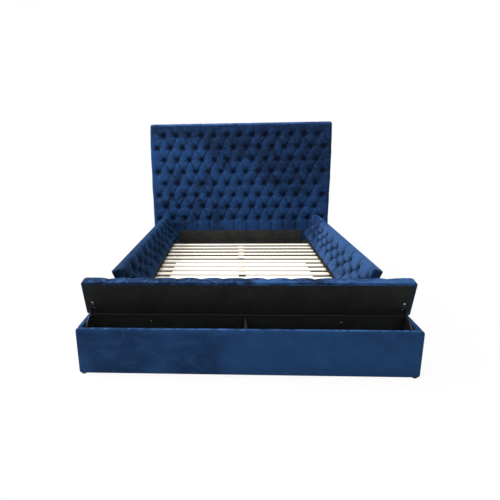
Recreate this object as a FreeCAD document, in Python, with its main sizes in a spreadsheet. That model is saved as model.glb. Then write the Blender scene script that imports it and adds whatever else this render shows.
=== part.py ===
import FreeCAD, Part
import math
import os
import Sketcher

# Storage bed for a queen mattress: a tall tufted headboard, a storage box across the foot
# and one along each side, each box with a tufted lid on a long hinge, shown open.
# X runs across the bed, Y from the foot to the headboard and Z up from the floor.
# The origin is on the floor under the middle of the bed.

os.makedirs("parts", exist_ok=True)
doc = FreeCAD.newDocument("storage_bed")

# Driving dimensions in millimetres and degrees
SIZES = {
    # whole bed
    "box_height": 326,
    "foot_height": 20,
    "headboard_inset": 60,
    "headboard_height": 1640,
    "mattress_width": 1524,
    "mattress_length": 2030,
    "mattress_clearance": 10,
    # boxes
    "foot_depth": 225,
    "side_depth": 276,
    "wall": 30,
    "board": 18,
    "inner_rail": 32,
    "floor_board": 12,
    "floor_lift": 30,
    "corner_radius": 12,
    "cover_radius": 6,
    "cross_rail_drop": 96,
    "lid_sweep_clearance": 10,
    "divider": 15,
    "divider_drop": 16,
    # lids
    "foot_lid_thickness": 78,
    "side_lid_thickness": 72,
    "foot_lid_angle": 77.4,
    "side_lid_angle": 67.5,
    "lid_board": 15,
    "lid_end_clearance": 7,
    "lining": 1,
    "lining_margin": 14,
    "lining_rear": 38,
    # hinges
    "knuckle_radius": 4,
    "pin_radius": 1.6,
    "running_fit": 0.1,
    "hinge_standoff": 4.5,
    "leaf_width": 30,
    "leaf_thickness": 1.2,
    "leaf_rise": 0.6,
    "wall_rise": 0.3,
    "knuckle_gap": 1,
    "hinge_end": 36,
    "leaf_gap": 0.3,
    # struts
    "box_pivot_reach": 160,
    "box_pivot_drop": 46,
    "lid_pivot_reach": 47,
    "lid_pivot_drop": 29,
    "stud_radius": 3,
    "stud_plate_radius": 11,
    "stud_plate": 2,
    "stud_length": 16,
    "eye_radius": 8,
    "eye_thickness": 5,
    "eye_offset": 9,
    "tube_radius": 7,
    "tube_length": 76,
    "tube_start": 9,
    "tube_bottom": 13,
    "rod_radius": 3.5,
    "rod_length": 90,
    "rivet_radius": 5,
    "rivet_head": 2,
    "web_gap": 0.6,
    "web_thickness": 2,
    "web_width": 26,
    "web_margin": 9,
    "flange_depth": 24,
    "flange_length": 70,
    "flange_thickness": 2,
    "flange_seat": 0.3,
    # mattress deck
    "slat_width": 60,
    "slat_thickness": 10,
    "slat_end_gap": 3,
    "slat_drop": 31,
    "head_gap": 208,
    "foot_gap": 73.6,
    "ledge_width": 30,
    "ledge_height": 30,
    "centre_rail_width": 60,
    "centre_rail_height": 50,
    "centre_rail_overhang": 20,
    "centre_leg_side": 45,
    "leg_plate_length": 50,
    "leg_plate_thickness": 8,
    # feet and screws
    "foot_radius": 19,
    "foot_inset": 22,
    "foot_setback": 36,
    "back_foot_inset": 70,
    "foot_taper": 3,
    "screw_radius": 4,
    "screw_head": 2.2,
    "screw_inset": 14,
    "screw_recess": 3,
    "screw_gap": 0.3,
    # headboard
    "headboard_pad": 75,
    "headboard_board": 30,
    "headboard_corner": 30,
    "lower_panel_inset": 31,
    "lower_panel_top": 406,
    "lower_panel_thickness": 8,
    # padding
    "pad_roll": 44,
    "pad_corner": 26,
    "pad_draw": 5,
    "button_radius": 12,
    "button_height": 7,
    "button_clearance": 1.5,
    "tuft_depth": 26,
    "tuft_radius": 38,
    "headboard_tuft_margin": 80.75,
    "headboard_row_pitch": 136.5,
    "headboard_first_row": 137,
    "side_tuft_margin": 33,
    "foot_tuft_margin": 156,
    "side_row_pitch": 60,
    "side_first_row": 88,
    "foot_row_pitch": 52,
    "foot_first_row": 62,
    "cut_overrun": 5,
}

# Counts
COUNTS = {
    "slats": 15,
    "slats_before_foot_leg": 9,
    "slats_before_head_leg": 5,
    "headboard_rows": 8,
    "headboard_columns": 13,
    "lid_rows": 3,
    "side_columns": 11,
    "foot_columns": 13,
    "knuckles": 21,
}

# Section of a pad from its base to its crown: height share and share of the edge roll drawn in
CROWN_SHARES = [(0, 0.16), (0.3, 0), (0.62, 0.06), (0.84, 0.3), (1, 1)]


class Size:
    """A size with its value and the expression that gives it in the document."""

    def __init__(self, value, text):
        self.value = float(value)
        self.text = text

    def __add__(self, other):
        other = as_size(other)
        return Size(self.value + other.value, f"({self.text} + {other.text})")

    def __sub__(self, other):
        other = as_size(other)
        return Size(self.value - other.value, f"({self.text} - {other.text})")

    def __mul__(self, other):
        other = as_size(other)
        return Size(self.value * other.value, f"({self.text} * {other.text})")

    def __truediv__(self, other):
        other = as_size(other)
        return Size(self.value / other.value, f"({self.text} / {other.text})")

    def __neg__(self):
        return Size(-self.value, f"(-1 * {self.text})")

    def __radd__(self, other):
        return as_size(other) + self

    def __rmul__(self, other):
        return as_size(other) * self


def as_size(value):
    """Read a plain number as a size, and leave a size as it is."""
    return value if isinstance(value, Size) else Size(value, repr(value))


class Bed:
    """The driving sizes and counts by name."""


bed = Bed()
sheet = doc.addObject("Spreadsheet::Sheet", "Sheet")
for row, (name, value) in enumerate({**SIZES, **COUNTS}.items(), start=1):
    sheet.set(f"A{row}", name)
    sheet.set(f"B{row}", str(value))
    sheet.setAlias(f"B{row}", name)
    setattr(bed, name, Size(value, "Sheet." + name))
doc.recompute()

# Derived places across the bed
deck_edge = bed.mattress_width / 2 + bed.mattress_clearance
rail_outer_face = deck_edge + bed.inner_rail
hinge_x = rail_outer_face + bed.hinge_standoff
half_width = rail_outer_face + bed.side_depth
width = half_width * 2
box_inner_x = half_width - bed.wall
headboard_width = width - bed.headboard_inset * 2
lower_panel_width = bed.mattress_width - bed.lower_panel_inset * 2

# Derived places along the bed, first measured from the front of the foot box
cross_rail_front = bed.foot_depth + bed.hinge_standoff + bed.board
cross_rail_back = bed.foot_depth + bed.foot_lid_thickness + bed.lid_sweep_clearance
length = cross_rail_back + bed.mattress_length + bed.headboard_pad + bed.headboard_board
front = -length / 2
hinge_y = front + bed.foot_depth
back_wall_y = hinge_y + bed.hinge_standoff
cross_rail_y = front + cross_rail_front
deck_start = front + cross_rail_back
headboard_y = deck_start + bed.mattress_length
side_middle_y = (deck_start + headboard_y) / 2
side_lid_length = bed.mattress_length - bed.lid_end_clearance * 2

# Derived heights
axis_z = bed.box_height - bed.wall_rise
floor_z = bed.foot_height + bed.floor_lift
slat_top = bed.box_height - bed.slat_drop
slat_bottom = slat_top - bed.slat_thickness
underside = bed.leaf_rise + bed.leaf_thickness
zero = as_size(0)

parts = []


def keep(piece, name):
    """Name a finished sub-part and list it for export."""
    piece.Label = name
    parts.append(piece)
    return piece


def bind(piece, **sizes):
    """Bind properties of a piece to their sizes."""
    for key, value in sizes.items():
        piece.setExpression(key, as_size(value).text)


def vector_text(place):
    """Write three sizes as a vector in an expression."""
    return "vector(" + "; ".join(as_size(value).text for value in place) + ")"


def placement_text(place, axis="vector(0; 0; 1)", angle="0"):
    """Write a place and a turn as a placement in an expression."""
    return f"placement({vector_text(place)}; rotation({axis}; {angle}))"


def put(piece, place, frame=None, axis="vector(0; 0; 1)", angle="0"):
    """Place a piece in the bed's frame, or in the frame of a box or lid."""
    text = placement_text(place, axis, angle)
    if frame is not None:
        text = f"{frame.Name}.Placement * {text}"
    piece.setExpression("Placement", text)
    return piece


def box(name, place, sizes, frame=None):
    """Make a plain rectangular board with its lowest corner at place."""
    piece = doc.addObject("Part::Box", name)
    bind(piece, Length=sizes[0], Width=sizes[1], Height=sizes[2])
    return keep(put(piece, place, frame), name)


def numbers(*sizes):
    """Read the values of several sizes."""
    return [as_size(value).value for value in sizes]


def vec(*sizes):
    """Read three sizes as a vector."""
    return FreeCAD.Vector(*numbers(*sizes))


# Frames of the boxes and lids: U from the hinge to the free edge, W up and V along the hinge
def hinge_frame(name, place, turn):
    """Make the frame of a box at the middle of its hinge axis."""
    frame = doc.addObject("App::Placement", name)
    upright = placement_text((0, 0, 0), "vector(1; 0; 0)", "90")
    turned = placement_text(place, "vector(0; 0; 1)", str(turn))
    frame.setExpression("Placement", f"{turned} * {upright}")
    return frame


def lid_frame(name, box_frame, angle):
    """Make the frame of a lid, opened about the hinge of its box."""
    frame = doc.addObject("App::Placement", name)
    return put(frame, (0, 0, 0), box_frame, "vector(0; 0; 1)", angle.text)


foot_box_frame = hinge_frame("FootBoxFrame", (zero, hinge_y, axis_z), -90)
right_box_frame = hinge_frame("RightBoxFrame", (hinge_x, side_middle_y, axis_z), 0)
left_box_frame = hinge_frame("LeftBoxFrame", (-hinge_x, side_middle_y, axis_z), 180)
foot_lid_frame = lid_frame("FootLidFrame", foot_box_frame, bed.foot_lid_angle)
right_lid_frame = lid_frame("RightLidFrame", right_box_frame, bed.side_lid_angle)
left_lid_frame = lid_frame("LeftLidFrame", left_box_frame, bed.side_lid_angle)


# Sketched bodies
def new_body(name):
    """Start a sketched body."""
    return doc.addObject("PartDesign::Body", name)


def sketch_on(body, role, name):
    """Add a sketch on one of the body's own base planes."""
    plane = next(item for item in body.Origin.OriginFeatures if item.Role == role)
    sketch = body.newObject("Sketcher::SketchObject", name)
    sketch.AttachmentSupport = [(plane, "")]
    sketch.MapMode = "FlatFace"
    return sketch


def outline(sketch, points):
    """Draw a closed outline of straight lines with each corner bound to its sizes."""
    corners = [FreeCAD.Vector(*numbers(x, y), 0) for x, y in points]
    count = len(corners)
    for index in range(count):
        line = Part.LineSegment(corners[index], corners[(index + 1) % count])
        sketch.addGeometry(line, False)
    for index in range(count):
        follower = (index + 1) % count
        sketch.addConstraint(Sketcher.Constraint("Coincident", index, 2, follower, 1))
    for index, (x, y) in enumerate(points):
        for kind, value, axis in (("DistanceX", x, -2), ("DistanceY", y, -1)):
            value = as_size(value)
            if value.value == 0:
                sketch.addConstraint(Sketcher.Constraint("PointOnObject", index, 1, axis))
            else:
                rule = Sketcher.Constraint(kind, -1, 1, index, 1, value.value)
                number = sketch.addConstraint(rule)
                sketch.setExpression(f"Constraints[{number}]", value.text)


def pad(body, sketch, name, height):
    """Thicken a sketch."""
    feature = body.newObject("PartDesign::Pad", name)
    feature.Profile = sketch
    bind(feature, Length=height)
    doc.recompute()
    return feature


def edges_where(feature, test):
    """List the edges of a feature whose middle point and direction pass a test."""
    chosen = []
    for number, edge in enumerate(feature.Shape.Edges, start=1):
        direction = edge.tangentAt(edge.FirstParameter)
        if test(edge.CenterOfMass, direction):
            chosen.append(f"Edge{number}")
    return chosen


def round_edges(body, base, name, radius, test):
    """Round the edges of a feature that pass a test."""
    feature = body.newObject("PartDesign::Fillet", name)
    feature.Base = (base, edges_where(base, test))
    bind(feature, Radius=radius)
    doc.recompute()
    return feature


def covered_board(name, place, sizes, corner_test, corner_radius, rim_radius=None):
    """Make a board with rounded upright corners, and a softer rim on top if asked for."""
    body = new_body(name)
    sketch = sketch_on(body, "XY_Plane", name + "_outline")
    outline(sketch, [(0, 0), (sizes[0], 0), (sizes[0], sizes[1]), (0, sizes[1])])
    block = pad(body, sketch, name + "_block", sizes[2])
    top = as_size(sizes[2]).value
    rounded = round_edges(body, block, name + "_corners", corner_radius, corner_test)
    if rim_radius is not None:
        def on_rim(middle, direction):
            return abs(middle.z - top) < bed.cover_radius.value and abs(direction.z) < 0.5
        round_edges(body, rounded, name + "_rim", rim_radius, on_rim)
    return keep(put(body, place), name)


def upright(direction):
    """Tell whether an edge stands along Z."""
    return abs(direction.z) > 0.99


# Foot box
front_height = bed.box_height - bed.foot_height
side_panel_length = cross_rail_back - bed.wall

covered_board(
    "foot_box_front", (-half_width, front, bed.foot_height), (width, bed.wall, front_height),
    lambda middle, direction: upright(direction) and middle.y < bed.wall.value / 2,
    bed.corner_radius, bed.cover_radius)
box("foot_box_side_left", (-half_width, front + bed.wall, bed.foot_height),
    (bed.wall, side_panel_length, front_height))
box("foot_box_side_right", (box_inner_x, front + bed.wall, bed.foot_height),
    (bed.wall, side_panel_length, front_height))
box("foot_box_back", (-box_inner_x, back_wall_y, bed.foot_height),
    (box_inner_x * 2, bed.board, front_height))
box("foot_box_floor", (-box_inner_x, front + bed.wall, floor_z),
    (box_inner_x * 2, back_wall_y - front - bed.wall, bed.floor_board))
divider_base = floor_z + bed.floor_board
divider_back = back_wall_y - bed.leaf_thickness - bed.leaf_gap
box("foot_box_divider", (-bed.divider / 2, front + bed.wall, divider_base),
    (bed.divider, divider_back - front - bed.wall, bed.box_height - bed.divider_drop - divider_base))
box("cross_rail", (-box_inner_x, cross_rail_y, bed.box_height - bed.cross_rail_drop),
    (box_inner_x * 2, cross_rail_back - cross_rail_front, bed.cross_rail_drop))

# Side boxes, mirrored left and right
rail_length = bed.mattress_length
side_bay = box_inner_x - rail_outer_face
for side, sign in (("left", -1), ("right", 1)):
    def across(near, far):
        """Give the lower X of a board between two distances from the middle."""
        return -far if sign < 0 else near

    box(f"rail_{side}_outer", (across(box_inner_x, half_width), deck_start, bed.foot_height),
        (bed.wall, rail_length, front_height))
    box(f"rail_{side}_inner", (across(deck_edge, rail_outer_face), deck_start, bed.foot_height),
        (bed.inner_rail, rail_length, front_height))
    box(f"rail_{side}_floor", (across(rail_outer_face, box_inner_x), deck_start, floor_z),
        (side_bay, rail_length - bed.board, bed.floor_board))
    box(f"rail_{side}_head_end",
        (across(rail_outer_face, box_inner_x), headboard_y - bed.board, bed.foot_height),
        (side_bay, bed.board, front_height))
    box(f"rail_{side}_ledge",
        (across(deck_edge - bed.ledge_width, deck_edge), deck_start, slat_bottom - bed.ledge_height),
        (bed.ledge_width, rail_length, bed.ledge_height))


def compound(name, solids, place=(0, 0, 0), frame=None, axis="vector(0; 0; 1)", angle="0"):
    """Keep shapes made by code as one sub-part."""
    piece = doc.addObject("Part::Feature", name)
    piece.Shape = solids[0] if len(solids) == 1 else Part.makeCompound(solids)
    return keep(put(piece, place, frame, axis, angle), name)


def moved(shape, *place):
    """Copy a shape to another place."""
    copy = shape.copy()
    copy.translate(vec(*place))
    return copy


# Mattress deck
slat_length = (deck_edge - bed.slat_end_gap) * 2
last_slat_y = headboard_y - bed.head_gap - bed.slat_width
slat_block = Part.makeBox(*numbers(slat_length, bed.slat_width, bed.slat_thickness))
screw_reach = slat_length / 2 - bed.screw_inset
screw_hole = Part.makeCylinder(*numbers(bed.screw_radius + bed.screw_gap, bed.slat_thickness))
hole_bottom = bed.slat_thickness - bed.screw_recess
for sign in (-1, 1):
    hole_x = slat_length / 2 + screw_reach * sign
    slat_block = slat_block.cut(moved(screw_hole, hole_x, bed.slat_width / 2, hole_bottom))
slat_run = last_slat_y - deck_start - bed.foot_gap
slat_pitch = slat_run / (COUNTS["slats"] - 1)
slat_places = [last_slat_y - slat_pitch * index for index in range(COUNTS["slats"])]
compound("slats", [moved(slat_block, -slat_length / 2, y, slat_bottom) for y in slat_places])
centre_rail_bottom = slat_bottom - bed.centre_rail_height
centre_rail_length = bed.mattress_length - bed.head_gap + bed.centre_rail_overhang
box("centre_rail", (-bed.centre_rail_width / 2, deck_start, centre_rail_bottom),
    (bed.centre_rail_width, centre_rail_length, bed.centre_rail_height))
leg_block = Part.makeBox(*numbers(bed.centre_leg_side, bed.centre_leg_side, centre_rail_bottom))
plate_block = Part.makeBox(*numbers(
    bed.centre_rail_width, bed.leg_plate_length, bed.leg_plate_thickness))
half_leg = bed.centre_leg_side / 2
leg_gaps = [slat_places[COUNTS[name] - 1] - (slat_pitch - bed.slat_width) / 2
            for name in ("slats_before_foot_leg", "slats_before_head_leg")]
legs = [moved(leg_block, -half_leg, y - half_leg, 0) for y in leg_gaps]
leg_plates = [
    moved(plate_block, -bed.centre_rail_width / 2, y - bed.leg_plate_length / 2, slat_bottom)
    for y in leg_gaps]
compound("centre_legs", legs + leg_plates)

# Feet: turned plastic glides under the corners and the middle of the sides
glide = new_body("glide")
glide_sketch = sketch_on(glide, "XZ_Plane", "glide_profile")
glide_top = bed.foot_radius - bed.foot_taper
outline(glide_sketch, [
    (0, 0), (glide_top, 0), (bed.foot_radius, bed.foot_taper),
    (bed.foot_radius, bed.foot_height), (0, bed.foot_height)])
turned_glide = glide.newObject("PartDesign::Revolution", "glide_turned")
turned_glide.Profile = glide_sketch
turned_glide.ReferenceAxis = (glide_sketch, ["V_Axis"])
turned_glide.Angle = 360
doc.recompute()
glide_x = half_width - bed.foot_inset
glide_rows = [front + bed.foot_setback, deck_start + bed.foot_setback, side_middle_y]
glide_places = [(glide_x * sign, y) for y in glide_rows for sign in (-1, 1)]
back_glide_x = headboard_width / 2 - bed.back_foot_inset
back_glide_y = headboard_y + bed.headboard_pad / 2
glide_places += [(back_glide_x * sign, back_glide_y) for sign in (-1, 1)]
compound("feet", [moved(glide.Shape, x, y, 0) for x, y in glide_places])


# Padding: a crowned block with sides drawn in between its corners and sewn tufts
def pad_section(pad_length, pad_width, height, inset, radius, draw):
    """Draw one level of a pad: four drawn-in sides joined by round corners."""
    x = pad_length / 2 - inset
    y = pad_width / 2 - inset
    bevel = radius * (1 - math.sqrt(0.5))
    corners = [(x, y), (-x, y), (-x, -y), (x, -y)]
    edges = []
    for index, (cx, cy) in enumerate(corners):
        nx, ny = corners[(index + 1) % len(corners)]
        sx, sy = math.copysign(1, cx), math.copysign(1, cy)
        along_y = (cx, cy - sy * radius)
        along_x = (cx - sx * radius, cy)
        middle = (cx - sx * bevel, cy - sy * bevel)
        first, last = (along_y, along_x) if index % 2 == 0 else (along_x, along_y)
        edges.append(Part.Arc(*[FreeCAD.Vector(px, py, height) for px, py in (first, middle, last)]))
        if index % 2 == 0:
            start, end = along_x, (nx - math.copysign(radius, nx), ny)
            bow = (0, cy - sy * draw)
        else:
            start, end = along_y, (nx, ny - math.copysign(radius, ny))
            bow = (cx - sx * draw, 0)
        edges.append(Part.Arc(*[FreeCAD.Vector(px, py, height) for px, py in (start, bow, end)]))
    return Part.Wire([edge.toShape() for edge in edges])


def tufted_pad(pad_length, pad_width, thickness, tufts, roll):
    """Loft a crowned pad from its base and sink a cone at each tuft."""
    long, wide, thick, edge_roll = numbers(pad_length, pad_width, thickness, roll)
    corner, draw = numbers(bed.pad_corner, bed.pad_draw)
    sections = []
    for height_share, inset_share in CROWN_SHARES:
        inset = edge_roll * inset_share
        level = pad_section(long, wide, thick * height_share, inset, corner, draw)
        sections.append(level)
    block = Part.makeLoft(sections, True, True)
    depth, wide_radius, overrun = numbers(bed.tuft_depth, bed.tuft_radius, bed.cut_overrun)
    narrow_radius = (bed.button_radius + bed.button_clearance).value
    slope = (wide_radius - narrow_radius) / depth
    cone = Part.makeCone(narrow_radius, wide_radius + slope * overrun, depth + overrun)
    cones = [moved(cone, x, y, thick - depth) for x, y in tufts]
    return block.cut(Part.makeCompound(cones))


def buttons(thickness, tufts):
    """Make a domed button on the bottom of each tuft."""
    radius, height = numbers(bed.button_radius, bed.button_height)
    sphere_radius = (radius ** 2 + height ** 2) / (2 * height)
    sphere = Part.makeSphere(sphere_radius, FreeCAD.Vector(0, 0, height - sphere_radius))
    dome = sphere.common(Part.makeCylinder(radius, height))
    seat = (thickness - bed.tuft_depth).value
    return [moved(dome, x, y, seat) for x, y in tufts]


def tuft_spacing(pad_length, margin, columns):
    """Spread a row of tufts between the margins at the two ends of a pad."""
    return ((pad_length - margin * 2) / (columns - 1)).value


def diamond_rows(columns, spacing, rows, first_row, row_pitch, wide_first):
    """Place tufts in rows that shift by half a spacing, giving diamonds."""
    places = []
    for number in range(rows):
        wide_row = (number % 2 == 0) == wide_first
        count = columns if wide_row else columns - 1
        start = -(count - 1) * spacing / 2
        places += [(start + spacing * index, first_row + row_pitch * number) for index in range(count)]
    return places


# Headboard
headboard_rise = bed.headboard_height - bed.foot_height
board_y = headboard_y + bed.headboard_pad
board = covered_board(
    "headboard_board", (headboard_width / 2, board_y, bed.foot_height),
    (headboard_width, headboard_rise, bed.headboard_board),
    lambda middle, direction: upright(direction) and middle.y > headboard_rise.value / 2,
    bed.headboard_corner)
put(board, (-headboard_width / 2, board_y + bed.headboard_board, bed.foot_height),
    None, "vector(1; 0; 0)", "90")
spacing = tuft_spacing(headboard_width, bed.headboard_tuft_margin, COUNTS["headboard_columns"] + 1)
first_row = (headboard_rise / 2 - bed.headboard_first_row).value
headboard_tufts = diamond_rows(
    COUNTS["headboard_columns"] + 1, spacing, COUNTS["headboard_rows"],
    first_row, -bed.headboard_row_pitch.value, False)
headboard_middle = (zero, board_y, bed.foot_height + headboard_rise / 2)
compound("headboard_pad",
         [tufted_pad(headboard_width, headboard_rise, bed.headboard_pad, headboard_tufts,
                     bed.pad_roll)],
         headboard_middle, None, "vector(1; 0; 0)", "90")
compound("headboard_buttons", buttons(bed.headboard_pad, headboard_tufts),
         headboard_middle, None, "vector(1; 0; 0)", "90")
box("headboard_lower_panel",
    (-lower_panel_width / 2, headboard_y - bed.lower_panel_thickness, slat_bottom),
    (lower_panel_width, bed.lower_panel_thickness, bed.lower_panel_top - slat_bottom))


# Hinges: a leaf on the box wall and a leaf under the lid, with knuckles in turn on one pin
def knuckle_spans(hinge_length, first):
    """Give the start and length of every other knuckle along the hinge."""
    count = COUNTS["knuckles"]
    pitch = hinge_length.value / count
    gap = bed.knuckle_gap.value
    start = -hinge_length.value / 2
    return [(start + pitch * index + gap / 2, pitch - gap) for index in range(first, count, 2)]


def block_at(u, w, v, du, dw, dv):
    """Make a box in a hinge frame."""
    return Part.makeBox(du, dw, dv, FreeCAD.Vector(u, w, v))


def wall_leaf(hinge_length):
    """Make the fixed leaf: an upright plate with its knuckles and the pin."""
    half = hinge_length.value / 2
    standoff, plate, leaf, radius, pin = numbers(
        bed.hinge_standoff, bed.leaf_thickness, bed.leaf_width, bed.knuckle_radius, bed.pin_radius)
    along = FreeCAD.Vector(0, 0, 1)
    shape = block_at(-standoff, -leaf, -half, plate, leaf - standoff, 2 * half)
    pieces = [Part.makeCylinder(pin, 2 * half, FreeCAD.Vector(0, 0, -half), along)]
    for start, span in knuckle_spans(hinge_length, 0):
        pieces.append(Part.makeCylinder(radius, span, FreeCAD.Vector(0, 0, start), along))
        pieces.append(block_at(-standoff, -standoff, start, plate, standoff, span))
    return shape.multiFuse(pieces).removeSplitter()


def lid_leaf(hinge_length):
    """Make the moving leaf: a flat plate with its bored knuckles."""
    half = hinge_length.value / 2
    standoff, plate, leaf, radius, rise = numbers(
        bed.hinge_standoff, bed.leaf_thickness, bed.leaf_width, bed.knuckle_radius, bed.leaf_rise)
    bore_radius = (bed.pin_radius + bed.running_fit).value
    along = FreeCAD.Vector(0, 0, 1)
    shape = block_at(standoff, rise, -half, leaf, plate, 2 * half)
    pieces = []
    for start, span in knuckle_spans(hinge_length, 1):
        pieces.append(Part.makeCylinder(radius, span, FreeCAD.Vector(0, 0, start), along))
        pieces.append(block_at(0, rise, start, standoff, plate, span))
    bore = Part.makeCylinder(bore_radius, 2 * half, FreeCAD.Vector(0, 0, -half), along)
    return shape.multiFuse(pieces).cut(bore).removeSplitter()


# Strut geometry in the plane of U and W
def pivot_line(angle):
    """Give the length and direction of a strut for a lid opened by an angle in degrees."""
    reach, drop, pivot_u, pivot_w = numbers(
        bed.lid_pivot_reach, -bed.lid_pivot_drop, bed.box_pivot_reach, -bed.box_pivot_drop)
    turn = math.radians(angle)
    u = reach * math.cos(turn) - drop * math.sin(turn) - pivot_u
    w = reach * math.sin(turn) + drop * math.cos(turn) - pivot_w
    return math.hypot(u, w), math.degrees(math.atan2(w, u))


def strut_tube():
    """Make a strut's tube along +X from its eye at the origin."""
    radius, long, start, bottom, rod = numbers(
        bed.tube_radius, bed.tube_length, bed.tube_start, bed.tube_bottom, bed.rod_radius)
    eye, thick, stud, fit = numbers(
        bed.eye_radius, bed.eye_thickness, bed.stud_radius, bed.running_fit)
    along = FreeCAD.Vector(1, 0, 0)
    tube = Part.makeCylinder(radius, long - start, FreeCAD.Vector(start, 0, 0), along)
    ring = Part.makeCylinder(eye, thick, FreeCAD.Vector(0, 0, -thick / 2))
    neck = Part.makeBox(start, thick, thick, FreeCAD.Vector(0, -thick / 2, -thick / 2))
    bore = Part.makeCylinder(rod + fit, long, FreeCAD.Vector(bottom, 0, 0), along)
    hole = Part.makeCylinder(stud + fit, 2 * thick, FreeCAD.Vector(0, 0, -thick))
    return tube.multiFuse([ring, neck]).cut(bore).cut(hole)


def strut_rod(strut_length, outward):
    """Make a strut's rod, its eye at the far pivot and the rivet head on the box's side."""
    radius, long, eye, thick, rivet, head = numbers(
        bed.rod_radius, bed.rod_length, bed.eye_radius, bed.eye_thickness, bed.rivet_radius,
        bed.rivet_head)
    along = FreeCAD.Vector(1, 0, 0)
    rod = Part.makeCylinder(radius, long, FreeCAD.Vector(strut_length - long, 0, 0), along)
    ring = Part.makeCylinder(eye, thick, FreeCAD.Vector(strut_length, 0, -thick / 2))
    head_v = thick / 2 if outward > 0 else -thick / 2 - head
    cap = Part.makeCylinder(rivet, head, FreeCAD.Vector(strut_length, 0, head_v))
    return rod.multiFuse([ring, cap])


def strut_stud(outward):
    """Make the stud that carries a strut's eye, its plate against the box end."""
    radius, plate_radius, plate, long, offset = numbers(
        bed.stud_radius, bed.stud_plate_radius, bed.stud_plate, bed.stud_length, bed.eye_offset)
    along = FreeCAD.Vector(0, 0, -outward)
    wall_point = FreeCAD.Vector(0, 0, offset * outward)
    plate_shape = Part.makeCylinder(plate_radius, plate, wall_point, along)
    return plate_shape.fuse(Part.makeCylinder(radius, long, wall_point, along))


def strut_bracket(v, inward):
    """Make the plate under the lid that a strut's upper eye lies against."""
    reach, drop, near, thick, web_width, margin = numbers(
        bed.lid_pivot_reach, bed.lid_pivot_drop, bed.rod_radius + bed.web_gap, bed.web_thickness,
        bed.web_width, bed.web_margin)
    flange, flange_length, flange_thick = numbers(
        bed.flange_depth, bed.flange_length, bed.flange_thickness)
    top = (underside - bed.lining - bed.flange_seat).value
    low = v + near * inward if inward > 0 else v - near - thick
    web = block_at(reach - web_width / 2, -drop - margin, low, web_width, top + drop + margin, thick)
    start = low if inward > 0 else low + thick - flange
    foot = block_at(
        reach - web_width / 2, top - flange_thick, start, flange_length, flange_thick, flange)
    return web.fuse(foot).removeSplitter()


def lid_set(name, box_frame, frame, lid_length, lid_width, thickness, angle, columns, margin,
            first_row, row_pitch, struts):
    """Make a lid with its padding, lining, hinge and struts, each named with its box end."""
    board_width = lid_width - bed.hinge_standoff
    pad_thickness = thickness - bed.lid_board
    half = lid_length / 2
    box(f"{name}_board", (bed.hinge_standoff, underside, -half),
        (board_width, bed.lid_board, lid_length), frame)
    box(f"{name}_lining", (bed.lining_rear, underside - bed.lining, -half + bed.lining_margin),
        (lid_width - bed.lining_rear - bed.lining_margin, bed.lining,
         lid_length - bed.lining_margin * 2), frame)
    row = (first_row - bed.hinge_standoff - board_width / 2).value
    spacing = tuft_spacing(lid_length, margin, columns)
    tufts = diamond_rows(columns, spacing, COUNTS["lid_rows"], row, row_pitch.value, True)
    pad_place = (bed.hinge_standoff + board_width / 2, underside + bed.lid_board, zero)
    corner = "vector(1; 1; 1)"
    compound(f"{name}_pad",
             [tufted_pad(lid_length, board_width, pad_thickness, tufts, bed.pad_roll)],
             pad_place, frame, corner, "-120")
    compound(f"{name}_buttons", buttons(pad_thickness, tufts), pad_place, frame, corner, "-120")
    hinge_length = lid_length - bed.hinge_end * 2
    compound(f"{name}_hinge_wall_leaf", [wall_leaf(hinge_length)], (0, 0, 0), box_frame)
    compound(f"{name}_hinge_leaf", [lid_leaf(hinge_length)], (0, 0, 0), frame)
    strut_length, direction = pivot_line(angle.value)
    brackets = []
    studs = []
    for (strut, box_end), outward in zip(struts, (1, -1)):
        v = (box_end - bed.eye_offset) * outward
        brackets.append(strut_bracket(v.value, -outward))
        studs.append((strut_stud(outward), v))
        place = (bed.box_pivot_reach, -bed.box_pivot_drop, v)
        compound(f"{strut}_tube", [strut_tube()], place, box_frame, angle=str(direction))
        compound(f"{strut}_rod", [strut_rod(strut_length, outward)], place, box_frame,
                 angle=str(direction))
    compound(f"{name}_brackets", brackets, (0, 0, 0), frame)
    doc.recompute()
    return [placed(stud, box_frame, (bed.box_pivot_reach, -bed.box_pivot_drop, v))
            for stud, v in studs]


def placed(shape, frame, place):
    """Copy a shape from a box's frame into the bed's frame."""
    copy = shape.copy()
    copy.Placement = frame.Placement.multiply(FreeCAD.Placement(vec(*place), FreeCAD.Rotation()))
    return copy


all_studs = []
all_studs += lid_set(
    "foot_lid", foot_box_frame, foot_lid_frame, width, bed.foot_depth,
    bed.foot_lid_thickness, bed.foot_lid_angle, COUNTS["foot_columns"], bed.foot_tuft_margin,
    bed.foot_first_row, bed.foot_row_pitch,
    [("strut_foot_left", box_inner_x), ("strut_foot_right", box_inner_x)])
side_lid_width = half_width - hinge_x
foot_end = bed.mattress_length / 2
head_end = foot_end - bed.board
for side, box_frame, frame, struts in (
        ("right", right_box_frame, right_lid_frame, (("foot", foot_end), ("head", head_end))),
        ("left", left_box_frame, left_lid_frame, (("head", head_end), ("foot", foot_end)))):
    all_studs += lid_set(
        f"{side}_lid", box_frame, frame, side_lid_length, side_lid_width, bed.side_lid_thickness,
        bed.side_lid_angle, COUNTS["side_columns"], bed.side_tuft_margin, bed.side_first_row,
        bed.side_row_pitch,
        [(f"strut_{side}_{end}", box_end) for end, box_end in struts])
compound("strut_studs", all_studs)

# Screws: a flat head sunk into each end of every slat
screw_head = Part.makeCylinder(*numbers(bed.screw_radius, bed.screw_head))
screws = []
for y in slat_places:
    for sign in (-1, 1):
        place = (screw_reach * sign, y + bed.slat_width / 2, slat_top - bed.screw_recess)
        screws.append(moved(screw_head, *place))
compound("frame_screws", screws)

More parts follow.
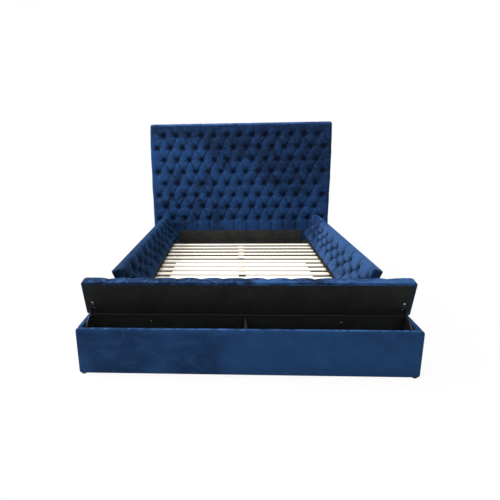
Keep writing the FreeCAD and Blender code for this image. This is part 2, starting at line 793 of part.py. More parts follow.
doc.recompute()
for item in doc.Objects:
    if "Invalid" in item.State or "Error" in item.State:
        raise RuntimeError(f"{item.Name} did not recompute: {item.State}")
for piece in parts:
    if piece.Shape.isNull() or not piece.Shape.isValid():
        raise RuntimeError(f"{piece.Label} has no valid shape")
for piece in parts:
    piece.Shape.exportStep(f"parts/{piece.Label}.step")
print(len(parts), "nodes")
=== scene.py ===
# %% [markdown]
# # A tufted storage bed
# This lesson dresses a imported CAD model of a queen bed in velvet. The bed has a tall
# deep-buttoned headboard, a storage box across its foot and one along each side, and a
# tufted lid on each box. The lids stand open here. The CAD model is the fixed frame: its
# pieces are never moved, they only get their finish or are stood in for by a softer piece.

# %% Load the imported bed
import math

import bpy
import numpy as np
from mathutils import Matrix, Vector


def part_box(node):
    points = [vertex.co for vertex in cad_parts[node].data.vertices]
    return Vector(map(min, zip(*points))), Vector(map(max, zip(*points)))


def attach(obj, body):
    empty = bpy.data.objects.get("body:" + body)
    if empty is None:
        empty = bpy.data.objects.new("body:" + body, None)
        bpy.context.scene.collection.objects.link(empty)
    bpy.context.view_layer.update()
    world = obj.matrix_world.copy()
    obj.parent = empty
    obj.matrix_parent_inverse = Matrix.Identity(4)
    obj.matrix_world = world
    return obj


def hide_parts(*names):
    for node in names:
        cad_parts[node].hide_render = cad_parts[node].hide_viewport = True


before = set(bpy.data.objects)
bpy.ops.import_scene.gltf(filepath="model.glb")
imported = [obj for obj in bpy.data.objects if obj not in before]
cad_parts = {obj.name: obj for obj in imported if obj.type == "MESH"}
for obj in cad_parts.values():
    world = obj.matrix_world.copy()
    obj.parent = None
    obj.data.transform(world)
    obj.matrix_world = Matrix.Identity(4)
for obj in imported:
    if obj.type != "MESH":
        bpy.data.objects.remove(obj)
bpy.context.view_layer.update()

scene = bpy.context.scene
scene.view_settings.view_transform = "Standard"

# %% [markdown]
# ## The camera
# The photograph was taken from about two metres beyond the foot, a little below eye height,
# with a wide lens. The camera's place and turn were worked out from the corners of the boxes
# and of the headboard. The bed isn't quite in the middle of the picture, and the lens was
# shifted for that.

# %% Camera at the photograph's place
CAMERA_PLACE = Vector((-0.0718, -3.4312, 1.4955))
CAMERA_YAW, CAMERA_PITCH, CAMERA_ROLL = -0.0535, 0.2393, -0.0168    # radians
PICTURE = 500           # pixels across the picture, and up it
LENS_PIXELS, CENTRE_X, CENTRE_Y = 391.7, 213.75, 232.09     # in pixels of that picture
SENSOR_WIDTH = 36       # millimetres

forward = Vector((math.sin(CAMERA_YAW) * math.cos(CAMERA_PITCH),
                  math.cos(CAMERA_YAW) * math.cos(CAMERA_PITCH), -math.sin(CAMERA_PITCH)))
level = Vector((math.cos(CAMERA_YAW), -math.sin(CAMERA_YAW), 0))
upright = level.cross(forward)
right = level * math.cos(CAMERA_ROLL) + upright * math.sin(CAMERA_ROLL)
up = upright * math.cos(CAMERA_ROLL) - level * math.sin(CAMERA_ROLL)

bpy.ops.object.camera_add(location=CAMERA_PLACE)
camera = bpy.context.object
camera.rotation_euler = Matrix((right, up, -forward)).transposed().to_euler()
camera.data.sensor_width = SENSOR_WIDTH
camera.data.lens = SENSOR_WIDTH * LENS_PIXELS / PICTURE
camera.data.shift_x = (PICTURE / 2 - CENTRE_X) / PICTURE
camera.data.shift_y = (CENTRE_Y - PICTURE / 2) / PICTURE
scene.camera = camera
print("lens", round(camera.data.lens, 2), "mm")

# %% [markdown]
# ## Adding shader nodes
# Every finish here is a small tree of nodes. One function adds a node, sets its options and
# fills its inputs, so that a material reads from top to bottom like a recipe. Colours are
# written as the hex values that a picture editor shows, and one function makes them linear.

# %% Helpers for materials
def linear(hex_colour):
    """Turn an sRGB hex colour into the linear values that the renderer mixes."""
    values = [int(hex_colour[place:place + 2], 16) / 255 for place in (1, 3, 5)]
    return [v / 12.92 if v <= 0.04045 else ((v + 0.055) / 1.055) ** 2.4 for v in values] + [1]


def add_node(tree, kind, inputs=None, **options):
    """Add a node, set its options and fill or link its inputs, named or numbered."""
    node = tree.nodes.new(kind)
    for key, value in options.items():
        setattr(node, key, value)
    for key, value in (inputs or {}).items():
        if isinstance(value, bpy.types.NodeSocket):
            tree.links.new(value, node.inputs[key])
        else:
            node.inputs[key].default_value = value
    return node


def new_material(name):
    """Start a material and give its node tree and its shader."""
    material = bpy.data.materials.new(name)
    material.use_nodes = True
    return material, material.node_tree, material.node_tree.nodes["Principled BSDF"]

# %% [markdown]
# ## Velvet
# The cover is a short-pile polyester velvet in deep blue. Its pile leans one way or another
# where a hand or a roller brushed it, so the same cloth shows lighter and darker patches with
# soft edges. Seen edge-on the tips of the pile catch the light, which is what sheen does. In
# the folds and beside the buttons the pads carry a value that mixes in a near-black: partly
# the pile standing apart there, and partly painted shade. Some pieces also darken slowly from
# one side to the other: a share is taken off the patches, which grows between two places
# along a direction. On the right lid this is painted shade towards the headboard. Lighter and
# darker copies of the velvet are painted light and painted shade on the lids, and a lighter
# velvet on top of the rims is a painted highlight.

# %% Velvet, short polyester pile
PILE_GRAIN = 0.0022     # metres between clumps of pile, drawn coarser than the real 0.3 mm
# The near-black of the folds: partly the pile standing apart, partly painted shade.
FOLD_SHADE_COLOUR = "#02040A"


def make_velvet(name, dark, middle, light, patch, patch_share, brushed=(1, 1, 1), stroke=0.7,
                crush=0.003, darken_by=0, darken_along=(1, 0, 0), darken_from=0, darken_to=1):
    """Mix a velvet: patch and crush are the size and the height of its nap in metres."""
    velvet, tree, shader = new_material(name)
    place = add_node(tree, "ShaderNodeTexCoord").outputs["Object"]
    brushing = add_node(tree, "ShaderNodeMapping", {"Vector": place, "Scale": brushed})
    patches = add_node(tree, "ShaderNodeTexNoise", {
        "Vector": brushing.outputs[0], "Scale": 1 / patch, "Detail": 6,
        "Roughness": 0.55, "Distortion": 0.35})
    strokes = add_node(tree, "ShaderNodeTexNoise", {
        "Vector": brushing.outputs[0], "Scale": 4 / patch, "Detail": 4,
        "Roughness": 0.55, "Distortion": 0.9})
    across = add_node(tree, "ShaderNodeVectorMath", {
        0: place, 1: darken_along}, operation="DOT_PRODUCT").outputs["Value"]
    # This darkening is painted shade on the right lid, towards the headboard; elsewhere it
    # darkens one side of a piece.
    darkening = add_node(tree, "ShaderNodeMapRange", {
        "Value": across, "From Min": darken_from, "From Max": darken_to, "To Max": darken_by},
        interpolation_type="SMOOTHSTEP")
    nap = add_node(tree, "ShaderNodeMath", {
        0: patches.outputs[0], 1: darkening.outputs[0]}, operation="SUBTRACT")
    shadowed = add_node(tree, "ShaderNodeMapRange", {
        "Value": nap.outputs[0], "From Min": patch_share, "From Max": patch_share + 0.22},
        interpolation_type="SMOOTHSTEP")
    lit = add_node(tree, "ShaderNodeMapRange", {
        "Value": strokes.outputs[0], "From Min": 0.40, "From Max": 0.75, "To Max": stroke},
        interpolation_type="SMOOTHSTEP")
    ground = add_node(tree, "ShaderNodeMix", {
        0: shadowed.outputs[0], 6: linear(dark), 7: linear(middle)}, data_type="RGBA")
    napped = add_node(tree, "ShaderNodeMix", {
        0: lit.outputs[0], 6: ground.outputs[2], 7: linear(light)}, data_type="RGBA")
    # Painted shade in the creases and beside the buttons, partly the pile standing apart there.
    fold_shade = add_node(tree, "ShaderNodeAttribute", attribute_name="fold_shade")
    deep = add_node(tree, "ShaderNodeMix", {
        0: fold_shade.outputs["Fac"], 6: napped.outputs[2], 7: linear(FOLD_SHADE_COLOUR)},
        data_type="RGBA")
    pile = add_node(tree, "ShaderNodeTexNoise", {
        "Vector": place, "Scale": 1 / PILE_GRAIN, "Detail": 2, "Roughness": 0.7})
    crushed = add_node(tree, "ShaderNodeBump", {
        "Height": strokes.outputs[0], "Strength": 0.35, "Distance": crush})
    raised = add_node(tree, "ShaderNodeBump", {
        "Height": pile.outputs[0], "Strength": 0.3, "Distance": 0.0008,
        "Normal": crushed.outputs[0]})
    tree.links.new(deep.outputs[2], shader.inputs["Base Color"])
    tree.links.new(raised.outputs[0], shader.inputs["Normal"])
    shader.inputs["Roughness"].default_value = 0.85
    shader.inputs["Specular IOR Level"].default_value = 0.08
    shader.inputs["Sheen Weight"].default_value = 0.3
    shader.inputs["Sheen Roughness"].default_value = 0.3
    shader.inputs["Sheen Tint"].default_value = linear("#4086E6")
    print("velvet", name)
    return velvet


velvet_panel = make_velvet(
    "velvet_brushed_flat", "#142C4D", "#1C3B61", "#234975", patch=0.40, patch_share=0.30,
    brushed=(0.8, 0.8, 1.2), stroke=0.4, darken_by=0.10, darken_from=0.9, darken_to=-0.9)
velvet_headboard = make_velvet(
    "velvet_deep_buttoned", "#0D1E38", "#173259", "#204579", patch=0.24, patch_share=0.30,
    stroke=0.35, crush=0.006, darken_by=0.25, darken_along=(0.35, 0, 1), darken_from=0.95, darken_to=1.5)
# A lighter copy for the right lid: painted light, with painted shade towards the headboard.
velvet_lit_copy = make_velvet(
    "velvet_painted_light_copy", "#132747", "#2B466E", "#355280", patch=0.25,
    patch_share=0.28, brushed=(1, 0.5, 1), stroke=0.6, darken_by=0.50, darken_along=(0, 1, 0),
    darken_from=0.2, darken_to=1.3)
# A darker copy for the left lid: painted shade.
velvet_shaded_copy = make_velvet(
    "velvet_painted_shade_copy", "#081628", "#0C223C", "#123150", patch=0.25,
    patch_share=0.36, brushed=(1, 0.5, 1))
# A lighter velvet for the tops of rims: a painted highlight.
velvet_rim_highlight = make_velvet(
    "velvet_painted_rim_highlight", "#142A4B", "#26456F", "#3A6199", patch=0.22, patch_share=0.40,
    brushed=(1, 1, 2.4), stroke=0.75)
# A lighter copy for the foot lid: painted light, darker towards its left end.
velvet_lid_edge = make_velvet(
    "velvet_foot_lid_painted_light", "#0D1D35", "#274772", "#3A6199", patch=0.22,
    patch_share=0.40, brushed=(1, 1, 2.4), stroke=0.55, darken_by=0.6, darken_from=0, darken_to=-0.9)
velvet_button = make_velvet(
    "velvet_button_cover", "#050B18", "#081228", "#102044", patch=0.1, patch_share=0.45)

# %% [markdown]
# ## Black lining
# The insides of the boxes, the undersides of the lids and the back are covered in spun-bonded
# polypropylene, the cheap black cloth under most sofas. It is pressed together in small
# diamonds, is slightly slack, and has a faint dry shine on its high places.

# %% Black spun-bonded lining
EMBOSS = 0.004          # metres between pressed points, drawn coarser than the real 1 mm


def make_lining(name, dark, light):
    """Mix a black non-woven cloth."""
    lining, tree, shader = new_material(name)
    place = add_node(tree, "ShaderNodeTexCoord").outputs["Object"]
    slack = add_node(tree, "ShaderNodeTexNoise", {
        "Vector": place, "Scale": 7, "Detail": 4, "Roughness": 0.55, "Distortion": 0.8})
    points = add_node(tree, "ShaderNodeTexVoronoi", {
        "Vector": place, "Scale": 1 / EMBOSS, "Randomness": 0.3})
    shade = add_node(tree, "ShaderNodeMapRange", {
        "Value": slack.outputs[0], "From Min": 0.35, "From Max": 0.65})
    tone = add_node(tree, "ShaderNodeMix", {
        0: shade.outputs[0], 6: linear(dark), 7: linear(light)}, data_type="RGBA")
    folds = add_node(tree, "ShaderNodeBump", {
        "Height": slack.outputs[0], "Strength": 0.5, "Distance": 0.006})
    emboss = add_node(tree, "ShaderNodeBump", {
        "Height": points.outputs["Distance"], "Strength": 0.25, "Distance": 0.0006,
        "Normal": folds.outputs[0]})
    tree.links.new(tone.outputs[2], shader.inputs["Base Color"])
    tree.links.new(emboss.outputs[0], shader.inputs["Normal"])
    shader.inputs["Roughness"].default_value = 0.78
    shader.inputs["Specular IOR Level"].default_value = 0.2
    print("lining", name)
    return lining


lining_black = make_lining("lining_spunbond_black", "#0E100F", "#191B1A")
# A lighter copy for the headboard's lower lining and skirt: painted light.
lining_lit = make_lining("lining_spunbond_lit_copy", "#181917", "#252623")
lining_inside = make_lining("lining_spunbond_inside_boxes", "#151817", "#232625")

# %% [markdown]
# ## Pine
# The slats are planed pine, sold unfinished. Its growth rings run along the board as fine
# straw-coloured lines, a little darker than the cream wood between them. The narrow edges
# carry painted shade and light: towards the head of the bed they are painted dark brown, and
# towards the foot they are painted as pale as the faces.

# %% Planed pine
RING_SPACING = 0.006    # metres between growth rings across a slat
EDGE_SHADE_FROM = 0.38        # metres from the middle of the bed to the first edge with painted shade

pine, tree, shader = new_material("pine_planed")
place = add_node(tree, "ShaderNodeTexCoord").outputs["Object"]
along = add_node(tree, "ShaderNodeMapping", {"Vector": place, "Scale": (0.05, 1, 1)})
wander = add_node(tree, "ShaderNodeTexNoise", {
    "Vector": along.outputs[0], "Scale": 22, "Detail": 3, "Roughness": 0.5})
rings = add_node(tree, "ShaderNodeTexNoise", {
    "Vector": along.outputs[0], "Scale": 1 / RING_SPACING, "Detail": 3, "Roughness": 0.6,
    "Distortion": 0.6})
board_tone = add_node(tree, "ShaderNodeMix", {
    0: wander.outputs[0], 6: linear("#FAF5E9"), 7: linear("#F1E7D3")}, data_type="RGBA")
ring_share = add_node(tree, "ShaderNodeMapRange", {
    "Value": rings.outputs[0], "From Min": 0.55, "From Max": 0.75, "To Max": 0.55})
grain = add_node(tree, "ShaderNodeMix", {
    0: ring_share.outputs[0], 6: board_tone.outputs[2], 7: linear("#E6D0A8")}, data_type="RGBA")
planed = add_node(tree, "ShaderNodeBump", {
    "Height": rings.outputs[0], "Strength": 0.2, "Distance": 0.0005})
# The narrow edges, found by their normal, get painted shade towards the head and painted light
# towards the foot.
facing = add_node(tree, "ShaderNodeSeparateXYZ", {
    0: add_node(tree, "ShaderNodeNewGeometry").outputs["True Normal"]})
edge_share = add_node(tree, "ShaderNodeMapRange", {
    "Value": facing.outputs["Z"], "From Min": 0.3, "From Max": 0.8, "To Min": 0.75, "To Max": 0})
headward = add_node(tree, "ShaderNodeSeparateXYZ", {0: place}).outputs["Y"]
edge_shade = add_node(tree, "ShaderNodeMapRange", {
    "Value": headward, "From Min": EDGE_SHADE_FROM, "From Max": EDGE_SHADE_FROM + 0.1})
edge_tone = add_node(tree, "ShaderNodeMix", {
    0: edge_shade.outputs[0], 6: linear("#FBF1E0"), 7: linear("#443C32")}, data_type="RGBA")
edge_light_and_shade = add_node(tree, "ShaderNodeMix", {
    0: edge_share.outputs[0], 6: grain.outputs[2], 7: edge_tone.outputs[2]}, data_type="RGBA")
tree.links.new(edge_light_and_shade.outputs[2], shader.inputs["Base Color"])
tree.links.new(planed.outputs[0], shader.inputs["Normal"])
shader.inputs["Roughness"].default_value = 0.6
print("wood", pine.name)

# %% [markdown]
# ## Metal and plastic
# The brackets and strut tubes are steel with a black powder coat, which dries to a fine
# orange-peel skin, and the leaves of the hinges have a thinner black lacquer. The strut rods
# are nitrided, which leaves them dark grey and polished. The screws are zinc plated, and the
# glides under the boxes are moulded black polypropylene. The ledges under the slats are
# painted black, and the centre rail is bare rough pine.

# %% Powder-coated steel, dark rods, zinc, moulded plastic and rough wood
def make_plain(name, dark, light, metallic, roughness, grain, depth, shine=0.5):
    """Mix a hard finish whose tone and skin vary with one noise of a real grain size."""
    finish, tree, shader = new_material(name)
    place = add_node(tree, "ShaderNodeTexCoord").outputs["Object"]
    skin = add_node(tree, "ShaderNodeTexNoise", {
        "Vector": place, "Scale": 1 / grain, "Detail": 3, "Roughness": 0.55})
    tone = add_node(tree, "ShaderNodeMix", {
        0: skin.outputs[0], 6: linear(dark), 7: linear(light)}, data_type="RGBA")
    peel = add_node(tree, "ShaderNodeBump", {
        "Height": skin.outputs[0], "Strength": 0.3, "Distance": depth})
    tree.links.new(tone.outputs[2], shader.inputs["Base Color"])
    tree.links.new(peel.outputs[0], shader.inputs["Normal"])
    shader.inputs["Metallic"].default_value = metallic
    shader.inputs["Specular IOR Level"].default_value = shine
    shader.inputs["Roughness"].default_value = roughness
    print("finish", name)
    return finish


hinge_coat = make_plain("steel_black_lacquer", "#111312", "#1A1C1B", 0, 0.55, 0.002, 0.0002,
                        0.3)
powder_coat = make_plain("steel_black_powder_coat", "#111213", "#1C1D1E", 0, 0.5, 0.002, 0.0003,
                         0.3)
rod_steel = make_plain("steel_nitrided_rod", "#242628", "#34373A", 1, 0.32, 0.01, 0.0001)
zinc = make_plain("steel_zinc_plated", "#C9C2AE", "#E6E0CE", 1, 0.28, 0.003, 0.0002)
moulded = make_plain("polypropylene_black_moulded", "#0E0E0F", "#19191A", 0, 0.5, 0.0015, 0.0002)
black_wood = make_plain("rail_black_painted_wood", "#151413", "#26221F", 0, 0.62, 0.012, 0.0006)
rail_wood = make_plain("rail_rough_pine", "#A59A84", "#BFB49E", 0, 0.75, 0.01, 0.0006)

# %% [markdown]
# ## The floor
# The picture has a plain white ground. The floor is a pale matt surface, mixed with plain
# white for the camera alone. Under the bed a little less white is mixed in, so a soft shadow
# shows there, and it pales away from the bed.

# %% Pale floor
SHADOW_REACH = 1.0, 2.6     # metres from the middle of the bed, between which it pales
WHITE_AT_BED = 0.93         # the share of plain white under the bed


def seen_directly(tree):
    """Give 1 where the camera looks, also by way of a mirror or glass, and 0 for other light."""
    rays = add_node(tree, "ShaderNodeLightPath")
    seen = add_node(tree, "ShaderNodeMath", {
        0: rays.outputs["Is Camera Ray"], 1: rays.outputs["Is Glossy Ray"]}, operation="MAXIMUM")
    seen_at_all = add_node(tree, "ShaderNodeMath", {
        0: seen.outputs[0], 1: rays.outputs["Is Transmission Ray"]}, operation="MAXIMUM")
    return seen_at_all.outputs[0]


bpy.ops.object.select_all(action="DESELECT")
bpy.ops.mesh.primitive_plane_add(size=40, location=(0, 0, 0))
floor = bpy.context.object
floor.name = "studio_floor"
ground, tree, shader = new_material("floor_pale_matt")
place = add_node(tree, "ShaderNodeTexCoord").outputs["Object"]
reach = add_node(tree, "ShaderNodeVectorMath", {0: place}, operation="LENGTH")
paling = add_node(tree, "ShaderNodeMapRange", {
    "Value": reach.outputs["Value"], "From Min": SHADOW_REACH[0], "From Max": SHADOW_REACH[1],
    "To Min": WHITE_AT_BED}, interpolation_type="SMOOTHSTEP")
share = add_node(tree, "ShaderNodeMath", {
    0: seen_directly(tree), 1: paling.outputs[0]}, operation="MULTIPLY")
white = add_node(tree, "ShaderNodeEmission", {"Color": (1, 1, 1, 1), "Strength": 1})
blend = add_node(tree, "ShaderNodeMixShader", {
    0: share.outputs[0], 1: shader.outputs[0], 2: white.outputs[0]})
shader.inputs["Base Color"].default_value = linear("#E9E9E9")
shader.inputs["Roughness"].default_value = 0.9
tree.links.new(blend.outputs[0], tree.nodes["Material Output"].inputs["Surface"])
floor.data.materials.append(ground)
print("floor", ground.name)

# %% [markdown]
# ## The light
# The room gives an even light from all round, and is plain white where the camera sees it.
# A wide, soft lamp stands on the left, above the camera: the lid on the right is lit, and the
# one on the left stands in its own shade. A second lamp hangs over the bed, and a weak one
# behind the camera opens the dark of the boxes.

# %% Room and lamps
ROOM_LIGHT = 0.33       # the room's strength for all but the camera

world = bpy.data.worlds.new("soft_room")
scene.world = world
world.use_nodes = True
tree = world.node_tree
level_light = add_node(tree, "ShaderNodeMapRange", {
    "Value": seen_directly(tree), "To Min": ROOM_LIGHT})
tree.nodes["Background"].inputs["Color"].default_value = (1, 1, 1, 1)
tree.links.new(level_light.outputs[0], tree.nodes["Background"].inputs["Strength"])

for name, place, aim, size, power in (
        ("soft_key", (-4.0, -0.7, 3.7), (0.2, 0.1, 0.4), 2.4, 290),
        ("soft_top", (-0.3, -0.2, 4.4), (0, 0.1, 0.3), 3.6, 190),
        ("soft_fill", (1.5, -5.0, 2.6), (0, 0, 0.5), 3.0, 28)):
    bpy.ops.object.light_add(type="AREA", location=place)
    lamp = bpy.context.object
    lamp.name = name
    lamp.data.size = size
    lamp.data.energy = power
    direction = Vector(aim) - Vector(place)
    lamp.rotation_euler = direction.to_track_quat("-Z", "Y").to_euler()
    print(name, power, "W")

# %% [markdown]
# ## A padded block
# All the upholstered pieces start the same way, as a cover cut to fit. A fine grid stands for
# the cloth, laid out flat. Its border is pulled down to make the sides, and the back is
# closed. Then the cloth is rolled over the edges of the foam: near an edge, the distance
# walked along the cloth becomes a walk round a quarter of an ellipse. Points near a corner
# are drawn in, so that the corner is round when seen from the front.

# %% Make and round a padded block
def padded_block(name, length, width, depth, roll, rise, corner, cell, tail):
    """Make a closed cover: X along, Y across, Z out of its face, its back at z = 0.

    The rounded edge goes in from the side by roll and up to the face by rise. A corner has
    the radius corner, the grid has cells of size cell, and tail is turned in at the back.
    """
    arc = math.pi / 2 * math.sqrt((roll ** 2 + rise ** 2) / 2)
    cloth_x = length - 2 * roll + 2 * arc
    cloth_y = width - 2 * roll + 2 * arc
    bpy.ops.object.select_all(action="DESELECT")
    bpy.ops.mesh.primitive_grid_add(
        x_subdivisions=round(cloth_x / cell), y_subdivisions=round(cloth_y / cell), size=1)
    block = bpy.context.object
    block.name = block.data.name = name
    bpy.ops.object.mode_set(mode="EDIT")
    bpy.ops.transform.resize(value=(cloth_x, cloth_y, 1))
    bpy.ops.transform.translate(value=(0, 0, depth))
    bpy.ops.mesh.select_all(action="SELECT")
    bpy.ops.mesh.region_to_loop()
    steps = max(2, round((depth - rise) / cell))
    for step in range(steps):
        bpy.ops.mesh.extrude_region_move(TRANSFORM_OT_translate={"value": (0, 0, -depth / steps)})
    bpy.ops.mesh.extrude_region_move()
    bpy.ops.transform.resize(value=(1 - 2 * tail / cloth_x, 1 - 2 * tail / cloth_y, 1))
    bpy.ops.mesh.edge_face_add()
    bpy.ops.mesh.select_all(action="SELECT")
    bpy.ops.mesh.normals_make_consistent(inside=False)
    bpy.ops.object.mode_set(mode="OBJECT")

    points = read_points(block)
    top = points[:, 2] > depth - 1e-6
    walked = np.stack([cloth_x / 2 - np.abs(points[:, 0]), cloth_y / 2 - np.abs(points[:, 1])], 1)
    angle = np.clip(walked / arc, 0, 1) * math.pi / 2
    inset = np.where(walked < arc, roll * (1 - np.cos(angle)), walked - arc + roll)
    half = np.array([length / 2, width / 2])
    flat = np.sign(points[:, :2]) * (half - inset)
    climb = np.sin(angle[:, 0]) * np.sin(angle[:, 1])
    height = np.where(top, depth - rise * (1 - climb), points[:, 2] * (depth - rise) / depth)
    near = np.clip(1 - (half - np.abs(flat)) / corner, 0, 1)
    drawn = near * np.sqrt(1 - near[:, ::-1] ** 2 / 2)
    flat = np.where(near > 0, np.sign(flat) * (half - corner * (1 - drawn)), flat)
    write_points(block, np.column_stack([flat, height]))
    return block


def read_points(piece):
    """Read a mesh's points as an array."""
    values = np.empty(len(piece.data.vertices) * 3, np.float32)
    piece.data.vertices.foreach_get("co", values)
    return values.reshape(-1, 3).astype(float)


def write_points(piece, points):
    """Move a mesh's points."""
    piece.data.vertices.foreach_set("co", points.astype(np.float32).ravel())
    piece.data.update()

# %% [markdown]
# ## Deep buttoning
# A tufted pad is made by pulling the cloth through the foam at each button. The spare cloth
# between two buttons folds into a pleat, and the pleats meet in diamonds. Beyond the outer
# buttons the pleats run straight to the edge. Here each pleat is a line between two points,
# and the cloth sinks towards it: more near a button, less half-way along, and more steeply on
# the upper side, where a pleat is folded under. Each button adds a cone with small puckers.

# %% Sink the cloth along pleats and at buttons
PLEAT_WANDER = 0.0035   # metres that a pleat bows to a side by chance
# A crease's dark is painted shade, partly the pile standing apart.
DARK_PLEAT = 0.009      # metres of depth from which a pleat's crease is fully dark


def ripples(points, size, seed):
    """Give a smooth random height from -1 to 1, with hills of about the given size."""
    chance = np.random.default_rng(seed)
    total = np.zeros(len(points))
    for turn in range(16):
        heading = chance.uniform(0, 2 * math.pi)
        pitch = size * chance.uniform(0.7, 1.6)
        phase = chance.uniform(0, 2 * math.pi)
        total += np.sin((points[:, 0] * math.cos(heading) + points[:, 1] * math.sin(heading))
                        * 2 * math.pi / pitch + phase)
    return total / 8


def diamonds(columns, spacing, rows, first_row, row_pitch, wide_first):
    """List the buttons, row by row, each row shifted by half a spacing."""
    places = []
    for number in range(rows):
        count = columns if (number % 2 == 0) == wide_first else columns - 1
        start = -(count - 1) * spacing / 2
        places.append([(start + spacing * index, first_row + row_pitch * number)
                       for index in range(count)])
    return places


def pleats_of(rows, half_length, half_width, inner, to_first, to_last, to_ends):
    """List pleats as (start, end, depths at start, half-way and end, width, bow)."""
    lines = []
    for upper, lower in zip(rows, rows[1:]):
        for x, y in upper:
            near = sorted(lower, key=lambda other: abs(other[0] - x))[:2]
            lines += [((x, y), other, *inner, 0.0) for other in near
                      if abs(other[0] - x) < abs(rows[0][1][0] - rows[0][0][0])]
    for row, edge, style in (
            (rows[0], math.copysign(half_width, rows[0][0][1] - rows[1][0][1]), to_first),
            (rows[-1], math.copysign(half_width, rows[-1][0][1] - rows[-2][0][1]), to_last)):
        lines += [((x, y), (x, edge), *style) for x, y in row]
    widest = max(len(row) for row in rows)
    for row in rows:
        if len(row) == widest:
            for x, y in (row[0], row[-1]):
                lines.append(((x, y), (math.copysign(half_length, x), y), *to_ends))
    return lines


def sink(flat, rows, lines, button_depth, dimple, crease, shade, darkened, seed):
    """Give each point its depth below the foam's face, and how deep in a fold it lies.

    A pleat gets painted shade over the width of its crease, and a button round a spot beside
    it, shade, which is as wide as its dimple times darkened.
    """
    depth = np.zeros(len(flat))
    fold_shade = np.zeros(len(flat))
    chance = np.random.default_rng(seed)
    for start, end, depths, width, bow in lines:
        start, end = np.array(start), np.array(end)
        reach = width * 3 + abs(bow)
        low, high = np.minimum(start, end) - reach, np.maximum(start, end) + reach
        chosen = np.nonzero(np.all((flat > low) & (flat < high), axis=1))[0]
        run = end - start
        length = np.linalg.norm(run)
        local = flat[chosen] - start
        share = np.clip(local @ run / length ** 2, 0, 1)
        side = np.array([-run[1], run[0]]) / length
        side = side if side[1] > 0 else -side
        bend = (bow + chance.normal(0, PLEAT_WANDER)) * np.sin(share * math.pi)
        above = local @ side + bend
        away = np.linalg.norm(local - share[:, None] * run, axis=1)
        away = np.where(share * (1 - share) > 0, np.abs(above), away)
        first, middle, last = depths
        ends = np.where(share < 0.5, first, last)
        strength = middle + (ends - middle) * np.abs(2 * share - 1) ** 2.4
        strength = strength * chance.uniform(0.7, 1.25)
        value = strength * np.exp(-away / (np.where(above > 0, 0.6, 1.0) * width))
        depth[chosen] = (depth[chosen] ** 3 + value ** 3) ** (1 / 3)
        creased = np.exp(-(away / crease) ** 2) * np.minimum(strength / DARK_PLEAT, 1)
        fold_shade[chosen] = np.maximum(fold_shade[chosen], creased * chance.uniform(0.5, 1))
    for x, y in [place for row in rows for place in row]:
        chosen = np.nonzero(np.abs(flat - (x, y)).max(axis=1) < dimple * 3)[0]
        local = flat[chosen] - (x, y)
        away = np.linalg.norm(local, axis=1)
        around = np.arctan2(local[:, 1], local[:, 0])
        count = chance.integers(3, 7)
        pucker = 1 + 0.15 * np.cos(around * count + chance.uniform(0, 6))
        value = button_depth * np.clip(1.25 * np.exp(-(away / (dimple * pucker)) ** 1.6), 0, 1)
        depth[chosen] = (depth[chosen] ** 3 + value ** 3) ** (1 / 3)
        shaded = np.linalg.norm(local - shade, axis=1) / (dimple * darkened * pucker)
        fold_shade[chosen] = np.maximum(fold_shade[chosen], np.exp(-shaded ** 3))
    return np.minimum(depth, button_depth), fold_shade

# %% [markdown]
# ## Placing and finishing a piece
# Each cover is modelled lying at the origin, then its points are carried to their place on
# the bed, so that the object itself stays at the origin, unturned. A lid's place is found
# from its hinge: across the lid from the hinge to the free edge, out of its face, and along.

# %% Carry a piece to its place
def place_at(origin, across, outward):
    """Give the matrix that carries a block to its place: X along, Y across, Z outward."""
    across, outward = Vector(across).normalized(), Vector(outward).normalized()
    along = across.cross(outward)
    turned = Matrix((along, across, outward)).transposed().to_4x4()
    return Matrix.Translation(Vector(origin)) @ turned


def lid_place(origin, across, angle):
    """Give the place of a lid that has been opened about its hinge by an angle in degrees."""
    turn = math.radians(angle)
    across, outward = Vector(across), Vector((0, 0, 1))
    opened = across * math.cos(turn) + outward * math.sin(turn)
    return place_at(origin, opened, outward * math.cos(turn) - across * math.sin(turn))


def finish_piece(piece, material, body, nodes=()):
    """Give a piece its material, its body and the CAD nodes that it stands for."""
    piece.data.materials.clear()
    piece.data.materials.append(material)
    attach(piece, body)
    if nodes:
        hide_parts(*nodes)
    print(piece.name, len(piece.data.polygons), "faces")


AXIS_HEIGHT = 0.3257    # metres from the floor to the axes of the lids' hinges
FOOT_LID = lid_place((0, -0.999, AXIS_HEIGHT), (0, -1, 0), 77.4)
RIGHT_LID = lid_place((0.8085, 0.104, AXIS_HEIGHT), (1, 0, 0), 67.5)
LEFT_LID = lid_place((-0.8085, 0.104, AXIS_HEIGHT), (-1, 0, 0), 67.5)
print("lids opened by 77.4 and 67.5 degrees")

# %% [markdown]
# ## A tufted cover
# A tufted cover starts as a padded block. It is subdivided once before it is pleated,
# because the pleats are narrower than the first grid. Every point sinks along its normal, so
# that the pleats run round the rolled edge too. The cloth is also slack between the pleats,
# with small rumples here and there.
#
# No two covers sit alike, and a few values say how. The sides can swell between the corners
# (belly). The ends can be drawn in towards the hinge (taper). The padding can have sunk at
# the free edge (settled), at the end that its sign picks. The painted shade in the folds can
# be weak or strong (marking), and the walls at the two ends can get painted shade (end_shade).

# %% Sew a tufted cover
SLACK_ROOM = 0.0014     # metres that slack cloth may rise or sink over the foam
RUMPLE = 0.0012         # metres of height in a rumple
PLEATS_PAST = 0.03, 0.05    # metres that pleats run on past the ends and the long edges


